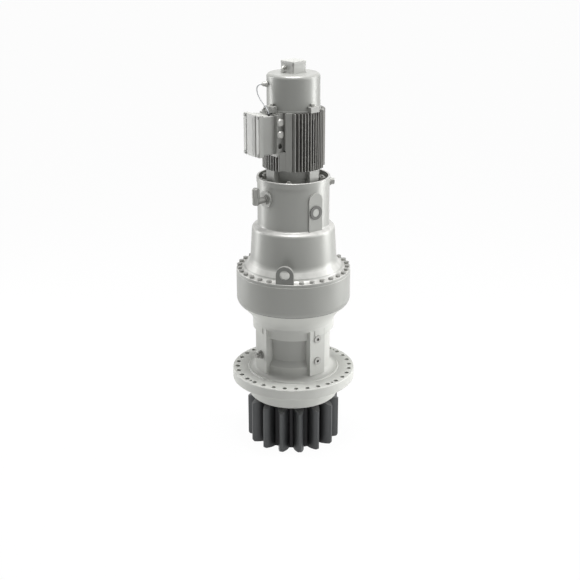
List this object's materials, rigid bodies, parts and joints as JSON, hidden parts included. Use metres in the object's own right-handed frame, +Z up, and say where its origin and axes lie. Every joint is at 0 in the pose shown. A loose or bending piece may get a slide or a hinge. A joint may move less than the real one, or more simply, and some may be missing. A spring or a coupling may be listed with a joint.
{
  "type": "yaw drive",
  "caption": "Upright yaw drive: output pinion under a bolted flange, planetary gearbox with a bell housing, finned motor with a brake under a cap and a terminal box.",
  "frame": {"origin": "centre of the mounting flange's underside, on the pinion's axis", "axes": "+Z up along the drive's axis to the motor; the terminal box lies towards -X; +Y completes the frame"},
  "size_m": [0.4749, 0.475, 1.483],
  "materials": {
    "housing_paint": "matt grey paint",
    "case_paint": "satin silver-grey paint",
    "motor_paint": "matt dark grey paint",
    "shield_paint": "satin grey paint",
    "lug_paint": "matt grey paint",
    "cover_paint": "satin silver-grey paint",
    "box_alloy": "cast, painted silver",
    "zinc_steel": "zinc-plated",
    "forged_steel": "phosphated forging",
    "gear_steel": "ground, oiled",
    "bearing_steel": "ground",
    "core_steel": "stacked laminations",
    "copper": "enamelled copper wire",
    "friction": "brake lining",
    "rubber": "matt",
    "cable_sheath": "matt grey",
    "glass": "clear"
  },
  "bodies": {
    "housing": {"mounting_housing": "housing_paint", "oil_plugs": "zinc_steel", "drain_fitting": "zinc_steel", "seal_carrier": "gear_steel", "shaft_seal": "rubber", "lower_bearing_cup": "bearing_steel", "upper_bearing_cup": "bearing_steel", "ring_gear_case": "case_paint", "case_joint_screws": "zinc_steel", "bell_housing": "case_paint", "bell_bolts": "zinc_steel", "lifting_lugs": "lug_paint", "sight_glass_ring": "zinc_steel", "sight_glass": "glass", "breather_elbow": "zinc_steel", "breather_cap": "zinc_steel", "oil_filler_plug": "zinc_steel", "middle_ring_gear": "gear_steel", "input_ring_gear": "gear_steel", "motor_flange_shield": "shield_paint", "motor_flange_bolts": "zinc_steel", "motor_frame": "motor_paint", "cable_entry_plugs": "zinc_steel", "stator_core": "core_steel", "stator_windings": "copper", "motor_bearings": "bearing_steel", "brake_end_shield": "shield_paint", "tie_bolts": "zinc_steel", "brake_cover": "cover_paint", "brake_magnet": "forged_steel", "terminal_box_body": "box_alloy", "terminal_box_lid": "box_alloy", "terminal_box_screws": "zinc_steel", "cable_grommet": "rubber", "top_box": "box_alloy", "top_box_lid": "box_alloy", "cable_glands": "zinc_steel", "brake_cable": "cable_sheath"},
    "output": {"pinion_shaft": "forged_steel", "lower_bearing_cone": "bearing_steel", "upper_bearing_cone": "bearing_steel", "output_carrier": "forged_steel", "output_planet_pins": "gear_steel"},
    "middle_stage": {"middle_carrier": "forged_steel", "output_sun_shaft": "gear_steel"},
    "input_stage": {"input_carrier": "forged_steel", "middle_sun_shaft": "gear_steel"},
    "rotor": {"rotor_shaft": "gear_steel", "rotor_core": "core_steel", "brake_disc": "friction"},
    "armature": {"brake_armature": "forged_steel"},
    "output_planet_1": {"output_planet_1": "gear_steel"},
    "output_planet_2": {"output_planet_2": "gear_steel"},
    "output_planet_3": {"output_planet_3": "gear_steel"},
    "middle_planet_1": {"middle_planet_1": "gear_steel"},
    "middle_planet_2": {"middle_planet_2": "gear_steel"},
    "middle_planet_3": {"middle_planet_3": "gear_steel"},
    "input_planet_1": {"input_planet_1": "gear_steel"},
    "input_planet_2": {"input_planet_2": "gear_steel"},
    "input_planet_3": {"input_planet_3": "gear_steel"}
  },
  "joints": [
    {"name": "pinion_spin", "type": "hinge", "parent": "housing", "child": "output", "pos_m": [0, 0, 0], "axis": [0, 0, 1], "continuous": true},
    {"name": "output_planet_1_spin", "type": "hinge", "parent": "output", "child": "output_planet_1", "pos_m": [0.1155, 0, 0], "axis": [0, 0, 1], "continuous": true},
    {"name": "output_planet_2_spin", "type": "hinge", "parent": "output", "child": "output_planet_2", "pos_m": [-0.05775, 0.10003, 0], "axis": [0, 0, 1], "continuous": true},
    {"name": "output_planet_3_spin", "type": "hinge", "parent": "output", "child": "output_planet_3", "pos_m": [-0.05775, -0.10003, 0], "axis": [0, 0, 1], "continuous": true},
    {"name": "middle_stage_spin", "type": "hinge", "parent": "housing", "child": "middle_stage", "pos_m": [0, 0, 0.6], "axis": [0, 0, 1], "continuous": true},
    {"name": "middle_planet_1_spin", "type": "hinge", "parent": "middle_stage", "child": "middle_planet_1", "pos_m": [0.075, 0, 0], "axis": [0, 0, 1], "continuous": true},
    {"name": "middle_planet_2_spin", "type": "hinge", "parent": "middle_stage", "child": "middle_planet_2", "pos_m": [-0.0375, 0.06495, 0], "axis": [0, 0, 1], "continuous": true},
    {"name": "middle_planet_3_spin", "type": "hinge", "parent": "middle_stage", "child": "middle_planet_3", "pos_m": [-0.0375, -0.06495, 0], "axis": [0, 0, 1], "continuous": true},
    {"name": "input_stage_spin", "type": "hinge", "parent": "housing", "child": "input_stage", "pos_m": [0, 0, 0.6], "axis": [0, 0, 1], "continuous": true},
    {"name": "input_planet_1_spin", "type": "hinge", "parent": "input_stage", "child": "input_planet_1", "pos_m": [0.066, 0, 0], "axis": [0, 0, 1], "continuous": true},
    {"name": "input_planet_2_spin", "type": "hinge", "parent": "input_stage", "child": "input_planet_2", "pos_m": [-0.033, 0.05716, 0], "axis": [0, 0, 1], "continuous": true},
    {"name": "input_planet_3_spin", "type": "hinge", "parent": "input_stage", "child": "input_planet_3", "pos_m": [-0.033, -0.05716, 0], "axis": [0, 0, 1], "continuous": true},
    {"name": "rotor_spin", "type": "hinge", "parent": "housing", "child": "rotor", "pos_m": [0, 0, 0.6], "axis": [0, 0, 1], "continuous": true},
    {"name": "brake_release", "type": "slide", "parent": "housing", "child": "armature", "axis": [0, 0, 1], "range_m": [0, 0.0005], "stiffness_N_per_m": 2000, "springref_m": -0.01}
  ],
  "couplings": [
    {"joint": "output_planet_1_spin", "follows": "pinion_spin", "ratio": -2.8333},
    {"joint": "output_planet_2_spin", "follows": "pinion_spin", "ratio": -2.8333},
    {"joint": "output_planet_3_spin", "follows": "pinion_spin", "ratio": -2.8333},
    {"joint": "middle_stage_spin", "follows": "pinion_spin", "ratio": 4.4},
    {"joint": "middle_planet_1_spin", "follows": "pinion_spin", "ratio": -11.733},
    {"joint": "middle_planet_2_spin", "follows": "pinion_spin", "ratio": -11.733},
    {"joint": "middle_planet_3_spin", "follows": "pinion_spin", "ratio": -11.733},
    {"joint": "input_stage_spin", "follows": "pinion_spin", "ratio": 22},
    {"joint": "input_planet_1_spin", "follows": "pinion_spin", "ratio": -56.571},
    {"joint": "input_planet_2_spin", "follows": "pinion_spin", "ratio": -56.571},
    {"joint": "input_planet_3_spin", "follows": "pinion_spin", "ratio": -56.571},
    {"joint": "rotor_spin", "follows": "pinion_spin", "ratio": 121}
  ]
}
